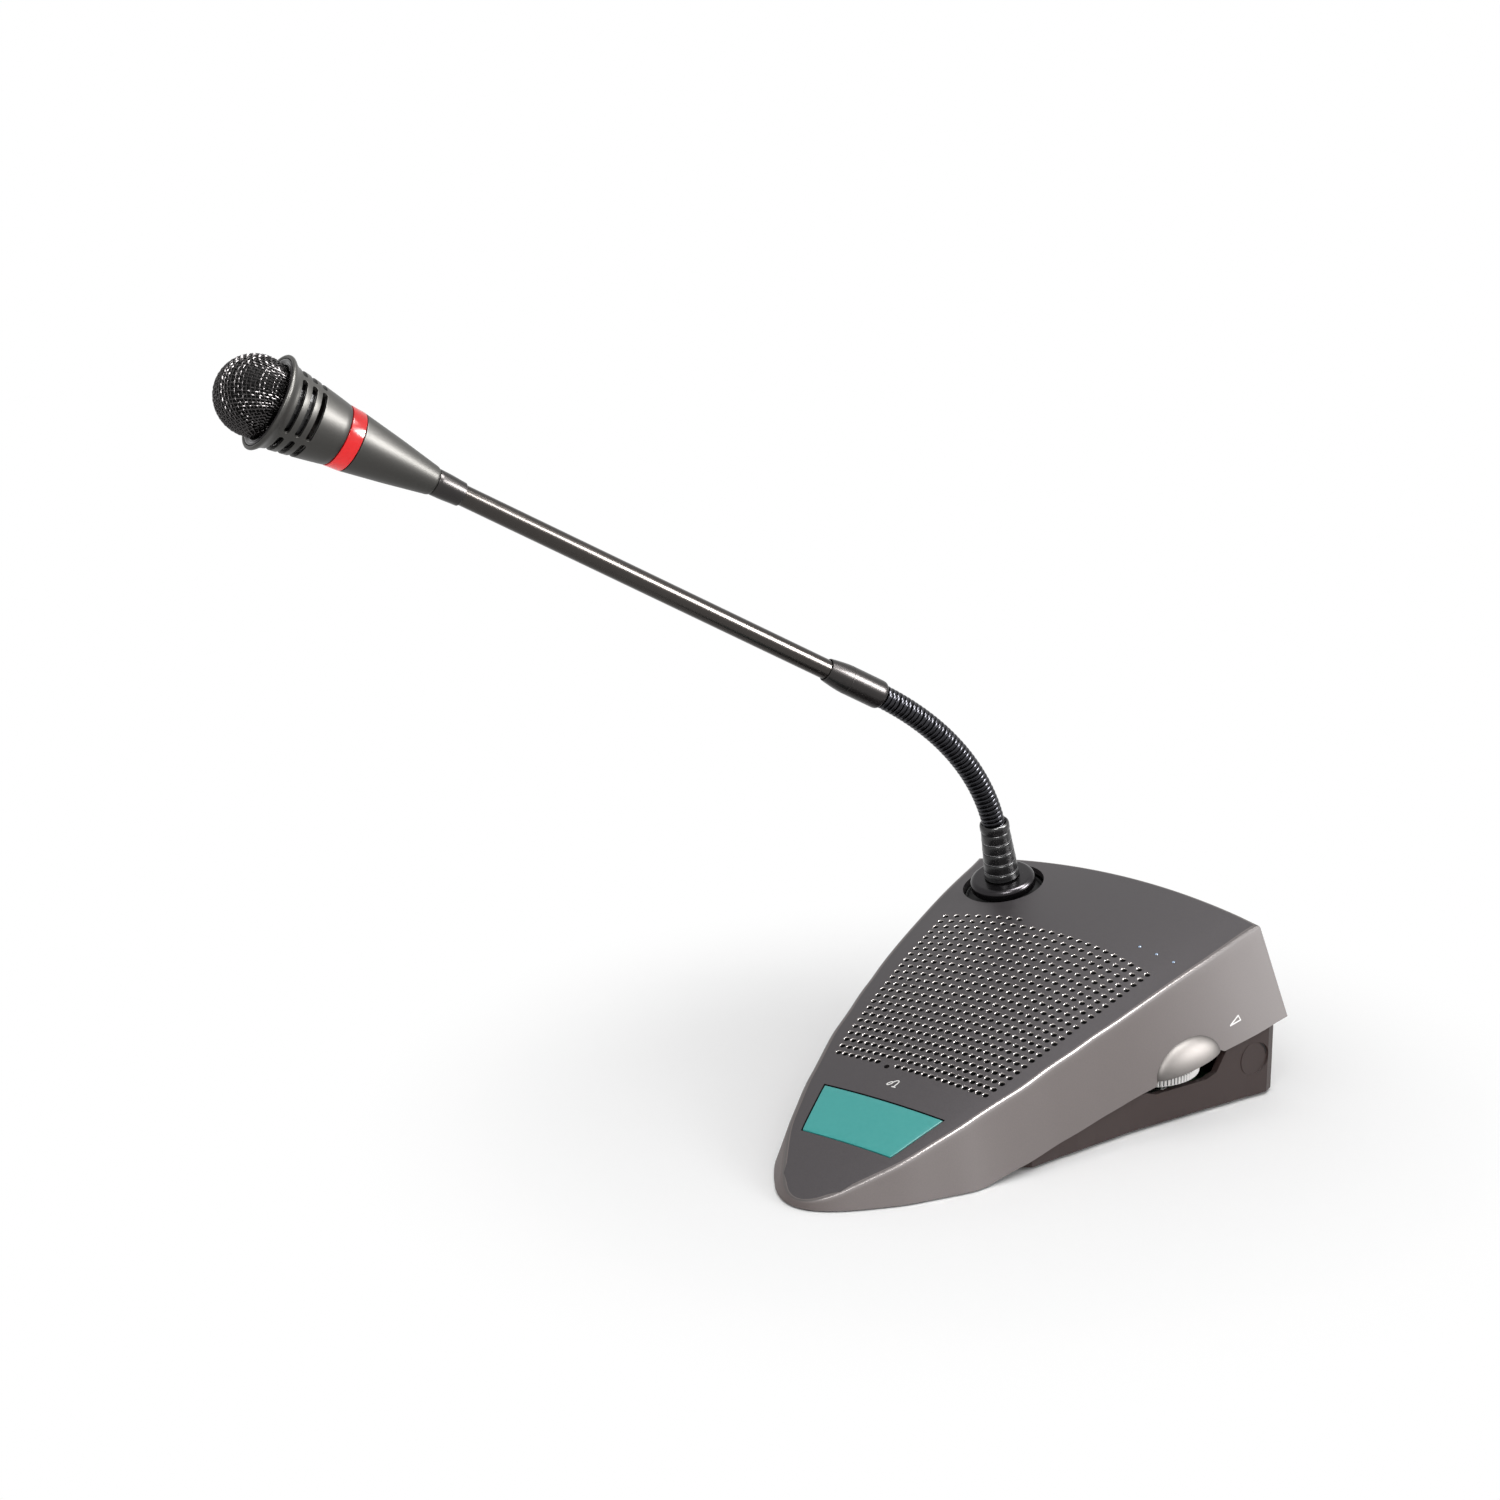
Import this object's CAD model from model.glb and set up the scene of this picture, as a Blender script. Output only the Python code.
# %% [markdown]
# # A gooseneck discussion microphone
# The solids, bodies and joints come from the frame. This lesson gives every visible piece its
# fine shape and its finish: a painted shell with a drilled grille, a teal talk button, a ribbed
# rubber boot, a bendable steel neck, a polished tube and a head with a woven wire ball.

# %% Load the frame
import math
import bmesh
import bpy
from mathutils import Matrix, Vector


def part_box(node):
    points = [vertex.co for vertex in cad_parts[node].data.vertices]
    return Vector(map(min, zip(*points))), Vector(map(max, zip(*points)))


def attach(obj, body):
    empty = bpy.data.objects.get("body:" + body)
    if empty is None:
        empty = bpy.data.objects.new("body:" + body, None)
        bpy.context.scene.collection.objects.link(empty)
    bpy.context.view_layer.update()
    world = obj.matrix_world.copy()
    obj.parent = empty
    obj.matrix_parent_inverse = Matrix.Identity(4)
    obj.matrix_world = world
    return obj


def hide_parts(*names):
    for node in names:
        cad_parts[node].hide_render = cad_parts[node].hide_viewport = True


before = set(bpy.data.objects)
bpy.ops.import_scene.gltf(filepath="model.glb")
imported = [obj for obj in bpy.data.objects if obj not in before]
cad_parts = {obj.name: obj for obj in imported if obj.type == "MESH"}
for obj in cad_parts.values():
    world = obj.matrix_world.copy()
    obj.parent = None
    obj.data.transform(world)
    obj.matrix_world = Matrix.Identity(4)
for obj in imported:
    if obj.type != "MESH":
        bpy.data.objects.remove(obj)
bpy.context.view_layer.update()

# %% [markdown]
# Everything is measured from the unit's own centre line at table level. The same handful of
# sizes drives the deck, the skirt and the stem, so the fine pieces sit exactly on the solids.

# %% Sizes of the unit
MM = 0.001
UNIT = Matrix.Translation((46.09 * MM, 43.7 * MM, 0))
DECK_FRONT, DECK_REAR, DECK_HALF = 92.8 * MM, 80.0 * MM, 53.5 * MM
WALL = 2.4 * MM
DECK_MIDDLE, DECK_RISE = 37.0 * MM, 0.3003
ALONG_ARC, ACROSS_ARC = 0.664, 0.394
EDGE_Y, EDGE_SLOPE = -49.85 * MM, 0.1998
FLARE_SIZE = 13.2 * MM
WIDTHS = (
    (-0.921, 0.209), (-0.840, 0.301), (-0.748, 0.398), (-0.647, 0.470), (-0.541, 0.540),
    (-0.485, 0.568), (-0.410, 0.610), (-0.310, 0.665), (-0.194, 0.707), (-0.093, 0.750),
    (0.0, 0.781), (0.100, 0.815), (0.262, 0.858), (0.450, 0.901), (0.625, 0.940),
    (0.750, 0.962), (0.887, 0.983), (0.955, 1.0))
FLARES = (
    (-1.0, 0.04), (-0.862, 0.212), (-0.754, 0.288), (-0.636, 0.364), (-0.539, 0.439),
    (-0.410, 0.380), (-0.194, 0.318), (0.125, 0.318), (0.225, 0.364), (0.575, 0.659),
    (0.806, 0.910), (1.0, 1.0))
SEAT_TILT = math.radians(15.4)
SEAT = UNIT @ Matrix.Translation((-33.6 * MM, 61.1 * MM, 51.1 * MM)) @ Matrix.Rotation(SEAT_TILT, 4, "X")


def read_table(table, place):
    """Value along a table, eased between its points so that outlines have no corners."""
    if place <= table[0][0]:
        return table[0][1]
    if place >= table[-1][0]:
        return table[-1][1]
    for i in range(len(table) - 1):
        (x0, y0), (x1, y1) = table[i], table[i + 1]
        if place <= x1:
            before = table[max(i - 1, 0)]
            after = table[min(i + 2, len(table) - 1)]
            slope0 = (y1 - before[1]) / (x1 - before[0])
            slope1 = (after[1] - y0) / (after[0] - x0)
            t = (place - x0) / (x1 - x0)
            h = x1 - x0
            return ((2 * t ** 3 - 3 * t * t + 1) * y0 + (t ** 3 - 2 * t * t + t) * h * slope0
                    + (3 * t * t - 2 * t ** 3) * y1 + (t ** 3 - t * t) * h * slope1)


def deck_height(x, y):
    return DECK_MIDDLE + DECK_RISE * y - y * y / (2 * ALONG_ARC) - x * x / (2 * ACROSS_ARC)


def deck_angle(y):
    return math.atan(DECK_RISE - y / ALONG_ARC)


def deck_normal(y):
    return Vector((0, -math.sin(deck_angle(y)), math.cos(deck_angle(y))))


def half_width(y):
    return DECK_HALF * read_table(WIDTHS, y / (DECK_FRONT if y < 0 else DECK_REAR))


def flare(y):
    return FLARE_SIZE * read_table(FLARES, y / (DECK_FRONT if y < 0 else DECK_REAR))


def deck_point(share, side_y, bow):
    x = half_width(side_y) * share
    y = side_y - bow * (1 - share * share)
    return Vector((x, y, deck_height(x, y)))


def in_mm(value):
    return round(value / MM, 1)


print("deck rises from", in_mm(deck_height(0, -DECK_FRONT)), "to", in_mm(deck_height(0, DECK_REAR)), "mm")

# %% [markdown]
# Small helpers stand in for the steps one would do by hand: clear the selection, turn a drawn
# half section about its axis with Spin, weld the seam, and set the finished piece in place with
# its position in its mesh. The last ones apply a modifier, hand drawn faces over to a mesh and
# draw closed bars.

# %% Helpers
CORNER_STEPS = 4


def only(item):
    bpy.ops.object.select_all(action="DESELECT")
    item.select_set(True)
    bpy.context.view_layer.objects.active = item


def new_object(name, data):
    item = bpy.data.objects.new(name, data)
    bpy.context.scene.collection.objects.link(item)
    return item


def edit(item, action="SELECT"):
    """Opens the item's mesh with all of it selected, or nothing."""
    only(item)
    bpy.ops.object.mode_set(mode="EDIT")
    bpy.ops.mesh.select_all(action=action)


def settle(item, material, body, place, angle=35.0):
    """Bakes the place into the mesh, sets smooth shading, the finish and the body."""
    item.data.transform(place)
    if item.data.materials:
        item.data.materials[0] = material
    else:
        item.data.materials.append(material)
    only(item)
    bpy.ops.object.shade_smooth_by_angle(angle=math.radians(angle))
    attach(item, body)
    return item


def spun(name, section, steps):
    """Turns a closed half section, given as (radius, height) in millimetres, about Z."""
    points = [(r * MM, 0, z * MM) for r, z in section]
    if section[0][0] > 0 or section[-1][0] > 0:
        points.append(points[0])
    mesh = bpy.data.meshes.new(name)
    mesh.from_pydata(points, [(i, i + 1) for i in range(len(points) - 1)], [])
    item = new_object(name, mesh)
    edit(item)
    bpy.ops.mesh.spin(steps=steps, angle=math.tau, center=(0, 0, 0), axis=(0, 0, 1))
    bpy.ops.mesh.select_all(action="SELECT")
    bpy.ops.mesh.remove_doubles(threshold=0.000005)
    bpy.ops.mesh.normals_make_consistent(inside=False)
    bpy.ops.object.mode_set(mode="OBJECT")
    return item


def soften(section, radii):
    """A half section with each corner rounded in a small arc by its own radius."""
    result = []
    for i, (corner, radius) in enumerate(zip(section, radii)):
        if not radius:
            result.append(corner)
            continue
        middle = Vector(corner)
        start = middle + (Vector(section[i - 1]) - middle).normalized() * radius
        end = middle + (Vector(section[(i + 1) % len(section)]) - middle).normalized() * radius
        for step in range(CORNER_STEPS + 1):
            t = step / CORNER_STEPS
            result.append(tuple(start * (1 - t) ** 2 + middle * 2 * t * (1 - t) + end * t * t))
    return result


def modify(item, kind, **settings):
    """Adds a modifier with its settings and applies it."""
    only(item)
    modifier = item.modifiers.new(kind.lower(), kind)
    for name, value in settings.items():
        setattr(modifier, name, value)
    bpy.ops.object.modifier_apply(modifier=modifier.name)


def mesh_of(shape, name):
    """Hands the drawn faces over to a mesh."""
    mesh = bpy.data.meshes.new(name)
    shape.to_mesh(mesh)
    shape.free()
    return mesh


def bars(name, strokes):
    """An object of closed bars, each one drawn through its loops of four points."""
    shape = bmesh.new()
    for stroke in strokes:
        loops = [[shape.verts.new(point) for point in loop] for loop in stroke]
        for before, after in zip(loops, loops[1:]):
            for i in range(4):
                j = (i + 1) % 4
                shape.faces.new((before[i], before[j], after[j], after[i]))
        shape.faces.new(list(reversed(loops[0])))
        shape.faces.new(loops[-1])
    bmesh.ops.recalc_face_normals(shape, faces=list(shape.faces))
    return new_object(name, mesh_of(shape, name))


print("helpers ready")

# %% [markdown]
# ## Finishes
# Paint, rubber and metal all show very fine unevenness up close. One shared node group makes
# that grain: a noise in object space that gives a small height and a small change of tone, so
# every finish can use it with its own scale.

# %% Shared grain group
def make_grain_group():
    group = bpy.data.node_groups.new("fine grain", "ShaderNodeTree")
    for side, names in (("INPUT", ("Scale", "Low", "High")), ("OUTPUT", ("Height", "Tone"))):
        for name in names:
            group.interface.new_socket(name, in_out=side, socket_type="NodeSocketFloat")
    nodes, links = group.nodes, group.links
    start = nodes.new("NodeGroupInput")
    end = nodes.new("NodeGroupOutput")
    where = nodes.new("ShaderNodeTexCoord")
    noise = nodes.new("ShaderNodeTexNoise")
    noise.inputs["Detail"].default_value = 3.0
    tone = nodes.new("ShaderNodeMapRange")
    links.new(where.outputs["Object"], noise.inputs["Vector"])
    links.new(start.outputs["Scale"], noise.inputs["Scale"])
    links.new(noise.outputs["Fac"], tone.inputs["Value"])
    tone.inputs["From Min"].default_value = 0.3
    tone.inputs["From Max"].default_value = 0.7
    links.new(start.outputs["Low"], tone.inputs["To Min"])
    links.new(start.outputs["High"], tone.inputs["To Max"])
    links.new(noise.outputs["Fac"], end.inputs["Height"])
    links.new(tone.outputs["Result"], end.inputs["Tone"])
    return group


GRAIN = make_grain_group()
GRAIN_DEPTH = 0.04 * MM


def linear(tone):
    """A tone as seen on a screen, from 0 to 255, as the colour that the shader wants."""
    return tuple(c / 255 / 12.92 if c <= 10 else ((c / 255 + 0.055) / 1.055) ** 2.4 for c in tone) + (1.0,)


def new_material(name):
    """A material with its nodes, its links and its shader."""
    material = bpy.data.materials.new(name)
    material.use_nodes = True
    tree = material.node_tree
    return material, tree.nodes, tree.links, tree.nodes["Principled BSDF"]


def finish(name, dark, light, roughness, metallic=0.0, scale=900, bump=0.0, spread=0.05, coat=0.0):
    """A Principled finish whose colour, roughness and surface all carry the shared grain."""
    material, nodes, links, shader = new_material(name)
    grain = nodes.new("ShaderNodeGroup")
    grain.node_tree = GRAIN
    grain.inputs["Scale"].default_value = scale
    grain.inputs["Low"].default_value = roughness - spread
    grain.inputs["High"].default_value = roughness + spread
    mix = nodes.new("ShaderNodeMix")
    mix.data_type = "RGBA"
    mix.inputs["A"].default_value = linear(dark)
    mix.inputs["B"].default_value = linear(light)
    links.new(grain.outputs["Height"], mix.inputs["Factor"])
    links.new(mix.outputs["Result"], shader.inputs["Base Color"])
    links.new(grain.outputs["Tone"], shader.inputs["Roughness"])
    if bump:
        relief = nodes.new("ShaderNodeBump")
        relief.inputs["Strength"].default_value = bump
        relief.inputs["Distance"].default_value = GRAIN_DEPTH
        links.new(grain.outputs["Height"], relief.inputs["Height"])
        links.new(relief.outputs["Normal"], shader.inputs["Normal"])
    shader.inputs["Metallic"].default_value = metallic
    shader.inputs["Coat Weight"].default_value = coat
    shader.inputs["Coat Roughness"].default_value = 0.2
    return material


PAINT = finish("deck paint", (56, 52, 54), (70, 66, 68), 0.42, 0.5, scale=2600, bump=0.1, spread=0.04)
SKIRT = finish("skirt paint", (84, 75, 73), (98, 88, 86), 0.6, 0.05, scale=2600, bump=0.3, spread=0.04)
EDGE = finish("rolled edge paint", (92, 88, 87), (98, 94, 93), 0.3, 0.85, spread=0.02)
HOLE_RIM = finish("hole rim paint", (128, 124, 122), (136, 132, 130), 0.28, 0.85, spread=0.02)
HOOD_PAINT = finish("hood silver", (80, 77, 75), (86, 83, 81), 0.5, 0.85, spread=0.02)
SILVER = finish("wheel silver", (222, 220, 218), (232, 230, 228), 0.42, 0.3)
BASE = finish("base plastic", (46, 33, 31), (58, 43, 40), 0.5, scale=1800, bump=0.25)
TEAL = finish("button teal", (56, 158, 154), (62, 166, 161), 0.42, scale=700, bump=0.02)
BLACK = finish("black plastic", (8, 8, 9), (14, 14, 15), 0.5, scale=1500, bump=0.15)
FLANGE = finish("flange coat", (40, 38, 40), (46, 44, 46), 0.22, 0.8, spread=0.02)
RUBBER = finish("boot rubber", (8, 8, 10), (13, 13, 15), 0.28, spread=0.03)
LIP = finish("rubber lip", (140, 140, 142), (160, 160, 162), 0.4, 0.2, spread=0.03)
NECK_STEEL = finish("neck steel", (50, 50, 53), (58, 58, 61), 0.24, 1.0, scale=600, spread=0.02)
TUBE = finish("tube chrome", (62, 59, 57), (66, 63, 61), 0.24, 1.0, scale=300, spread=0.01)
SLEEVE = finish("sleeve metal", (56, 54, 54), (60, 58, 57), 0.3, 1.0, scale=300, spread=0.01)
HEAD = finish("head gunmetal", (64, 63, 61), (73, 72, 70), 0.43, 0.95, scale=2600, bump=0.02, spread=0.03)
CHROME = finish("rim chrome", (44, 42, 44), (54, 52, 53), 0.2, 1.0, scale=400, spread=0.02)
RED = finish("ring red", (222, 2, 8), (234, 5, 13), 0.18, scale=300, spread=0.02)
WIRE = finish("mesh wire", (62, 60, 60), (78, 76, 76), 0.26, 1.0, scale=600)
FOAM = finish("dark foam", (4, 4, 4), (9, 8, 8), 0.95, scale=1400, bump=0.9)
CLOTH = finish("acoustic cloth", (5, 5, 5), (10, 10, 10), 0.95, scale=2400, bump=0.8)
LENS = finish("indicator lens", (150, 176, 212), (176, 198, 226), 0.2, scale=600, bump=0.02, coat=0.5)
MARK = finish("printed mark", (236, 234, 232), (246, 244, 242), 0.5, scale=1200)
STEEL = finish("plated steel", (150, 150, 150), (176, 174, 170), 0.28, 1.0, bump=0.1)
BRASS = finish("brass", (176, 140, 72), (196, 160, 92), 0.3, 1.0, bump=0.1)
BOARD = finish("board laminate", (18, 70, 40), (26, 84, 50), 0.4, scale=700, bump=0.1)
PAPER = finish("cone paper", (22, 22, 22), (34, 34, 34), 0.85, scale=1400, bump=0.6)
FERRITE = finish("ferrite", (48, 48, 50), (62, 62, 64), 0.5, 0.2, scale=1200, bump=0.3)
WHITE = finish("plunger plastic", (196, 196, 190), (210, 210, 204), 0.45, bump=0.1)
for dull in (BLACK, BASE, TEAL, FOAM, CLOTH, MARK):
    dull.node_tree.nodes["Principled BSDF"].inputs["Specular IOR Level"].default_value = 0.3
print("finishes:", len(bpy.data.materials))

# %% [markdown]
# ## The deck shell
# The deck is a crowned leaf shape. A grid of rows runs across it from the tip to the rear edge,
# and each loudspeaker hole is a two-by-two patch of that grid with a round, sunk hole in it.
# The edge is rolled over in a small arc before the skirt falls away to the table.

# %% Rows and columns of the deck
FINE = 2
HOLE_ROWS, HOLE_COLUMNS = 24, 23
GRILLE_SHARE, BUTTON_SHARE = 0.86, 0.775
TIP_Y = -0.921 * DECK_FRONT
TIP_BOW = 0.0787 * DECK_FRONT
GRILLE_BOW = -0.118 * DECK_REAR
REAR_SHARE = 0.045
REAR_BOW = -REAR_SHARE * DECK_REAR
BUTTON_Y0, BUTTON_Y1 = -69.4 * MM, -50.2 * MM
GRILLE_Y0, GRILLE_Y1 = -38.0 * MM, 35.5 * MM
TIP_ROWS, BUTTON_ROWS, GAP_ROWS, REAR_ROWS = 10, 6, 5, 18


def shell_rows():
    """Each row is (y at the edge, bow, warp of the columns toward the button's sides)."""
    rows = []
    for i in range(TIP_ROWS):
        share = 1 - i / TIP_ROWS
        rows.append((BUTTON_Y0 + (TIP_Y - BUTTON_Y0) * share, TIP_BOW * share ** 2, 1.0))
    for i in range(BUTTON_ROWS + 1):
        rows.append((BUTTON_Y0 + (BUTTON_Y1 - BUTTON_Y0) * i / BUTTON_ROWS, 0.0, 1.0))
    for i in range(1, GAP_ROWS):
        rows.append((BUTTON_Y1 + (GRILLE_Y0 - BUTTON_Y1) * i / GAP_ROWS, 0.0, 1.0 - i / GAP_ROWS))
    count = HOLE_ROWS * FINE
    for i in range(count + 1):
        rows.append((GRILLE_Y0 + (GRILLE_Y1 - GRILLE_Y0) * i / count, GRILLE_BOW * (i / count) ** 2, 0.0))
    rear = DECK_REAR * (1 - REAR_SHARE)
    for i in range(1, REAR_ROWS + 1):
        share = i / REAR_ROWS
        rows.append((GRILLE_Y1 + (rear - GRILLE_Y1) * share, GRILLE_BOW + (REAR_BOW - GRILLE_BOW) * share, 0.0))
    return rows


def shell_columns():
    """Places across, with the button's side edges among them, as (share, warped share)."""
    half = HOLE_COLUMNS * FINE
    places = [GRILLE_SHARE * (2 * i / half - 1) for i in range(half + 1)]
    near = min(places, key=lambda place: abs(place - BUTTON_SHARE))
    pairs = []
    for place in [-1.0] + places + [1.0]:
        size = abs(place)
        if size <= near:
            warped = size * BUTTON_SHARE / near
        else:
            warped = BUTTON_SHARE + (size - near) * (1 - BUTTON_SHARE) / (1 - near)
        pairs.append((place, math.copysign(warped, place) if place else 0.0))
    return pairs


ROWS = shell_rows()
COLUMNS = shell_columns()
FIRST_HOLE_ROW = next(i for i, row in enumerate(ROWS) if abs(row[0] - GRILLE_Y0) < 1e-7)
print(len(ROWS), "rows and", len(COLUMNS), "columns; the first hole row starts at row", FIRST_HOLE_ROW)

# %% [markdown]
# The edge loop of the grid is drawn in by the fillet, then the skirt's rows hang from it. The
# skirt flares outward to its lower edge, which climbs toward the rear. On the right it stops at
# the lower rim of the hood over the volume wheel.

# %% Edge loop, feet and hood
FILLET = 1.25 * MM
HOOD_Y, HOOD_RISE, HOOD_SINK = 33.9 * MM, 1.5 * MM, 0.15 * MM
HOOD_HALF, HOOD_HIGH, HOOD_DEEP, HOOD_THICK = 12.2 * MM, 7.6 * MM, 4.1 * MM, 1.1 * MM


def loop_of(grid):
    loop = list(grid[0]) + [row[-1] for row in grid[1:]]
    loop += list(reversed(grid[-1][:-1])) + [row[0] for row in reversed(grid[1:-1])]
    return loop


def mitred_normals(points):
    normals = []
    for i, point in enumerate(points):
        before = point - points[i - 1]
        after = points[(i + 1) % len(points)] - point
        first = Vector((before.y, -before.x, 0)).normalized()
        second = Vector((after.y, -after.x, 0)).normalized()
        middle = (first + second).normalized()
        normals.append(middle / max(middle.dot(first), 0.6))
    return normals


def edge_height(y):
    return max(0.5 * MM, (y - EDGE_Y) * EDGE_SLOPE)


def side_foot(point, normal):
    foot = point + normal.normalized() * flare(point.y)
    return Vector((foot.x, foot.y, edge_height(foot.y)))


def feet_of(points, normals):
    across = len(COLUMNS)
    first = across + len(ROWS) - 2
    corner_foot = side_foot(points[first], normals[first - 1])
    feet = []
    for i, point in enumerate(points):
        if first <= i < first + across:
            share = point.x / points[first].x
            middle_y = DECK_REAR - 0.5 * MM
            y = middle_y + (corner_foot.y - middle_y) * share * share
            feet.append(Vector((corner_foot.x * share, y, edge_height(y))))
        else:
            feet.append(side_foot(point, normals[i]))
    return feet


def hood_rim(y):
    """Height of the hood's lower rim: it runs a little above the skirt's lower edge."""
    return edge_height(y) + HOOD_RISE


def low_edge(foot):
    if foot.x > 0 and abs(foot.y - HOOD_Y) < HOOD_HALF:
        return hood_rim(foot.y)
    return foot.z


def arc_mix(corner, inward, downward, t):
    """A point of the rolled edge between the deck (t = 0) and the skirt (t = 1)."""
    return corner + inward * (1 - t) ** 2 + downward * t ** 2


GRID = []
for side_y, bow, warp in ROWS:
    GRID.append([deck_point(place + (warped - place) * warp, side_y, bow) for place, warped in COLUMNS])
LOOP = loop_of(GRID)
NORMALS = mitred_normals(LOOP)
FEET = feet_of(LOOP, NORMALS)
print("edge loop of", len(LOOP), "points, feet at most", in_mm(max(foot.x for foot in FEET)), "mm out")

# %% [markdown]
# The shell is drawn face by face: plain grid faces, a ring of faces round each hole, the rolled
# edge and the skirt. Every outer point has its partner on the inside, so the walls close.

# %% Build the shell
SINK_RADIUS, HOLE_RADIUS, SINK_DEPTH = 1.06 * MM, 0.88 * MM, 0.34 * MM
SINK_RINGS = ((SINK_RADIUS, 0), ((SINK_RADIUS + HOLE_RADIUS) / 2, 0.08 * MM), (HOLE_RADIUS, SINK_DEPTH))
RING_POINTS = 16
PATCH_BORDER = ((0, 0), (0, 1), (0, 2), (1, 2), (2, 2), (2, 1), (2, 0), (1, 0))
SKIP_FRONT = (7, 8)
REAR_ROW_HOLES = 8
SKIRT_SLOT, INSIDE_SLOT, EDGE_SLOT, RIM_SLOT = 1, 2, 3, 4
ARC_STEPS = (0.14, 0.28, 0.42, 0.56, 0.7, 0.85, 1.0)
SKIRT_STEPS = 12
INNER_ARC, INNER_LOW = 0.2, 0.9 * MM


def wanted_hole(row, column):
    if row == 0 and column in SKIP_FRONT:
        return False
    return row < HOLE_ROWS - 1 or column < REAR_ROW_HOLES


def ring_points(corners, radius, depth):
    """The points of a round hole in the patch's own plane."""
    centre = sum(corners, Vector()) / len(corners)
    up = deck_normal(centre.y)
    across = (corners[3] - corners[7]).normalized()
    along = up.cross(across).normalized()
    first = corners[0] - centre
    start = math.atan2(first.dot(along), first.dot(across))
    points = []
    for i in range(RING_POINTS):
        angle = start + i * math.tau / RING_POINTS
        points.append(centre + (across * math.cos(angle) + along * math.sin(angle)) * radius - up * depth)
    return points


def deck_grid(shape, inner):
    """Outer deck faces with their holes; fills in the inner partner of every point."""
    verts = [[shape.verts.new(point) for point in row] for row in GRID]
    for row in verts:
        for vertex in row:
            inner[vertex] = vertex.co - deck_normal(vertex.co.y) * WALL
    used = set()
    for hole_row in range(HOLE_ROWS):
        for hole_column in range(HOLE_COLUMNS):
            if not wanted_hole(hole_row, hole_column):
                continue
            r, c = FIRST_HOLE_ROW + hole_row * FINE, 1 + hole_column * FINE
            used.update({(r, c), (r, c + 1), (r + 1, c), (r + 1, c + 1)})
            border = [verts[r + i][c + j] for i, j in PATCH_BORDER]
            corners = [vertex.co for vertex in border]
            rings = []
            for radius, depth in SINK_RINGS:
                ring = [shape.verts.new(point) for point in ring_points(corners, radius, depth)]
                up = deck_normal(corners[0].y)
                for vertex in ring:
                    inner[vertex] = vertex.co - up * (WALL - depth)
                rings.append(ring)
            for i in range(8):
                j = (i + 1) % 8
                outer = rings[0]
                shape.faces.new((border[i], border[j], outer[2 * j], outer[2 * i + 1], outer[2 * i]))
            for low, high in zip(rings[1:], rings[:-1]):
                for i in range(RING_POINTS):
                    j = (i + 1) % RING_POINTS
                    shape.faces.new((high[i], high[j], low[j], low[i])).material_index = RIM_SLOT
    for r in range(len(ROWS) - 1):
        for c in range(len(COLUMNS) - 1):
            middle_y = (ROWS[r][0] + ROWS[r + 1][0]) / 2
            middle = (COLUMNS[c][1] + COLUMNS[c + 1][1]) / 2
            opening = BUTTON_Y0 < middle_y < BUTTON_Y1 and abs(middle) < BUTTON_SHARE
            if (r, c) in used or opening:
                continue
            shape.faces.new((verts[r][c], verts[r][c + 1], verts[r + 1][c + 1], verts[r + 1][c]))
    loose = [vertex for vertex in shape.verts if not vertex.link_faces]
    for vertex in loose:
        inner.pop(vertex)
    bmesh.ops.delete(shape, geom=loose, context="VERTS")
    return verts


def roll_and_skirt(shape, verts, inner):
    """Rolls the deck's edge over and hangs the skirt from it."""
    loop = loop_of(verts)
    spans = []
    for vertex, normal, foot in zip(loop, NORMALS, FEET):
        corner = vertex.co.copy()
        low = corner + (foot - corner) * ((corner.z - low_edge(foot)) / (corner.z - foot.z))
        reach = min(FILLET, 0.3 * (corner - low).length)
        slope = Vector((0, 0, DECK_RISE - corner.y / ALONG_ARC)) * -normal.y
        inward = (-normal + slope) * reach
        downward = (low - corner).normalized() * reach
        inner_corner = corner - deck_normal(corner.y) * WALL - normal * WALL
        inner_corner.z = max(inner_corner.z, INNER_LOW)
        spans.append((corner, low, inward, downward, reach, inner_corner, normal))
    for vertex, (corner, _, inward, _, _, inner_corner, _) in zip(loop, spans):
        vertex.co = corner + inward
        inner[vertex] = inner_corner + inward * INNER_ARC
    above = loop
    for t in ARC_STEPS:
        below = []
        for corner, _, inward, downward, _, inner_corner, _ in spans:
            vertex = shape.verts.new(arc_mix(corner, inward, downward, t))
            inner[vertex] = arc_mix(inner_corner, inward * INNER_ARC, downward * INNER_ARC, t)
            below.append(vertex)
        above = join_rows(shape, above, below, EDGE_SLOT if 0.25 < t < 0.6 else SKIRT_SLOT)
    for step in range(1, SKIRT_STEPS + 1):
        below = []
        for corner, low, _, _, reach, inner_corner, normal in spans:
            length = (low - corner).length
            share = (reach + (length - reach) * step / SKIRT_STEPS) / length
            place = corner + (low - corner) * share
            inside = place - normal * WALL
            inside.z = inner_corner.z + (low.z - inner_corner.z) * share
            vertex = shape.verts.new(place)
            inner[vertex] = inside
            below.append(vertex)
        above = join_rows(shape, above, below, SKIRT_SLOT)


def join_rows(shape, above, below, finish_slot):
    count = len(above)
    for i in range(count):
        j = (i + 1) % count
        shape.faces.new((above[i], below[i], below[j], above[j])).material_index = finish_slot
    return below


def close_shell(shape, inner):
    """Adds the inside faces and the walls along every open edge."""
    faces = list(shape.faces)
    edges = [edge for edge in shape.edges if edge.is_boundary]
    partner = {vertex: shape.verts.new(place) for vertex, place in inner.items()}
    for face in faces:
        shape.faces.new([partner[vertex] for vertex in reversed(face.verts)]).material_index = INSIDE_SLOT
    for edge in edges:
        corner = edge.link_loops[0]
        first, second = corner.vert, corner.link_loop_next.vert
        shape.faces.new((second, first, partner[first], partner[second])).material_index = INSIDE_SLOT


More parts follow.
